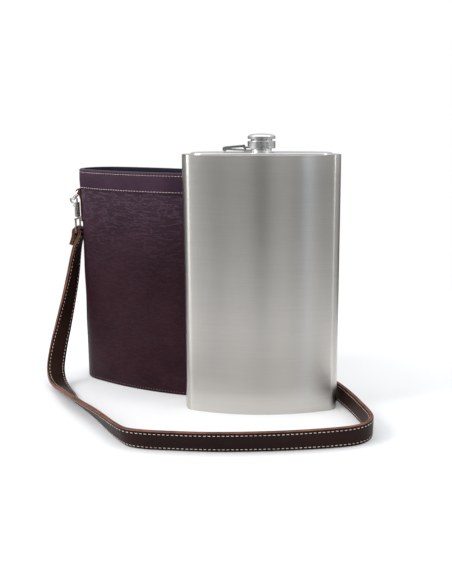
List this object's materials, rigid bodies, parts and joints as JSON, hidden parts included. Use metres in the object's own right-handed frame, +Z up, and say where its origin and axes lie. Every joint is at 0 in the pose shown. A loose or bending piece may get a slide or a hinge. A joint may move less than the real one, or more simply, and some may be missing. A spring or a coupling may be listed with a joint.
{
  "type": "canteen",
  "caption": "Slim steel canteen with a captive screw cap on folding links, with an oval leather carrier and a shoulder strap on snap hooks.",
  "frame": {"origin": "middle of the underside of the flask, on the ground", "axes": "+X to the flask's right along its width, +Y to its back, where the carrier stands, +Z up"},
  "size_m": [0.3363, 0.2641, 0.2712],
  "materials": {
    "body_steel": "brushed along the body's height",
    "plate_steel": "brushed, with welded and polished edges",
    "neck_steel": "turned and polished",
    "cap_steel": "spun satin",
    "link_steel": "pressed and tumbled",
    "pin_steel": "drawn",
    "liner_rubber": "smooth",
    "carrier_leather": "fine pebbled grain, waxed",
    "band_leather": "smooth, sewn",
    "board": "bonded leather board, raw",
    "lining_cloth": "dark woven twill",
    "thread": "waxed cream thread",
    "fitting_chrome": "nickel plated",
    "spring_steel": "drawn wire",
    "strap_leather": "waxed, brown painted edges",
    "strap_lining": "waxed, brown painted edges"
  },
  "bodies": {
    "carrier": {"carrier_shell": "carrier_leather", "carrier_stiffener": "board", "carrier_lining": "lining_cloth", "carrier_base": "carrier_leather", "base_board": "board", "base_lining": "lining_cloth", "rim_band": "band_leather", "rim_thread_upper": "thread", "rim_thread_lower": "thread", "base_thread": "thread", "left_tab": "band_leather", "right_tab": "band_leather", "left_swivel_eye": "fitting_chrome", "right_swivel_eye": "fitting_chrome", "strap_outer": "strap_leather", "strap_inner": "strap_lining"},
    "flask": {"front_shell": "body_steel", "back_shell": "body_steel", "top_plate": "plate_steel", "base_plate": "plate_steel", "neck": "neck_steel", "hinge_bracket": "link_steel", "bracket_pin": "pin_steel"},
    "lower_link": {"lower_link": "link_steel"},
    "upper_link": {"upper_link": "link_steel", "knuckle_pin": "pin_steel"},
    "cap_ring": {"cap_ring": "cap_steel", "ring_pin": "pin_steel"},
    "cap": {"cap_shell": "cap_steel", "cap_insert": "neck_steel", "cap_liner": "liner_rubber"},
    "left_ring": {"left_d_ring": "fitting_chrome"},
    "left_hook": {"left_hook": "fitting_chrome", "left_spring": "spring_steel"},
    "left_bolt": {"left_bolt": "fitting_chrome"},
    "right_ring": {"right_d_ring": "fitting_chrome"},
    "right_hook": {"right_hook": "fitting_chrome", "right_spring": "spring_steel"},
    "right_bolt": {"right_bolt": "fitting_chrome"}
  },
  "joints": [
    {"name": "flask_lift", "type": "slide", "parent": "carrier", "child": "flask", "axis": [0, 0, 1], "range_m": [0, 0.3]},
    {"name": "lower_link_turn", "type": "hinge", "parent": "flask", "child": "lower_link", "pos_m": [-0.0155, 0, 0.2554], "axis": [0, 1, 0], "range_deg": [0, 13.2]},
    {"name": "link_fold", "type": "hinge", "parent": "lower_link", "child": "upper_link", "pos_m": [-0.03497, 0, 0.2565], "axis": [0, 1, 0], "range_deg": [-26.4, 0]},
    {"name": "ring_turn", "type": "hinge", "parent": "upper_link", "child": "cap_ring", "pos_m": [-0.0155, 0, 0.2576], "axis": [0, 1, 0], "range_deg": [0, 13.2]},
    {"name": "cap_unscrew", "type": "hinge", "parent": "cap_ring", "child": "cap", "pos_m": [0, 0, 0.262], "axis": [0, 0, 1], "range_deg": [0, 1260]},
    {"name": "left_ring_swing", "type": "hinge", "parent": "carrier", "child": "left_ring", "pos_m": [-0.19834, 0.1082, 0.207], "axis": [0, 1, 0], "range_deg": [-4, 4]},
    {"name": "left_hook_turn", "type": "hinge", "parent": "carrier", "child": "left_hook", "pos_m": [-0.20134, 0.1082, 0.185], "axis": [0, 0, 1], "range_deg": [-12, 12]},
    {"name": "left_bolt_pull", "type": "slide", "parent": "left_hook", "child": "left_bolt", "axis": [0, 0, -1], "range_m": [0, 0.0036], "stiffness_N_per_m": 150, "springref_m": -0.004, "deforming": ["left_spring"]},
    {"name": "right_ring_swing", "type": "hinge", "parent": "carrier", "child": "right_ring", "pos_m": [-0.03966, 0.05579, 0.207], "axis": [0, 1, 0], "range_deg": [-4, 4]},
    {"name": "right_hook_turn", "type": "hinge", "parent": "carrier", "child": "right_hook", "pos_m": [-0.03666, 0.05579, 0.185], "axis": [0, 0, 1], "range_deg": [-12, 12]},
    {"name": "right_bolt_pull", "type": "slide", "parent": "right_hook", "child": "right_bolt", "axis": [0, 0, -1], "range_m": [0, 0.0036], "stiffness_N_per_m": 150, "springref_m": -0.004, "deforming": ["right_spring"]}
  ],
  "couplings": [
    {"joint": "lower_link_turn", "follows": "cap_unscrew", "ratio": 0.010374},
    {"joint": "link_fold", "follows": "cap_unscrew", "ratio": -0.020748},
    {"joint": "ring_turn", "follows": "cap_unscrew", "ratio": 0.010374}
  ]
}
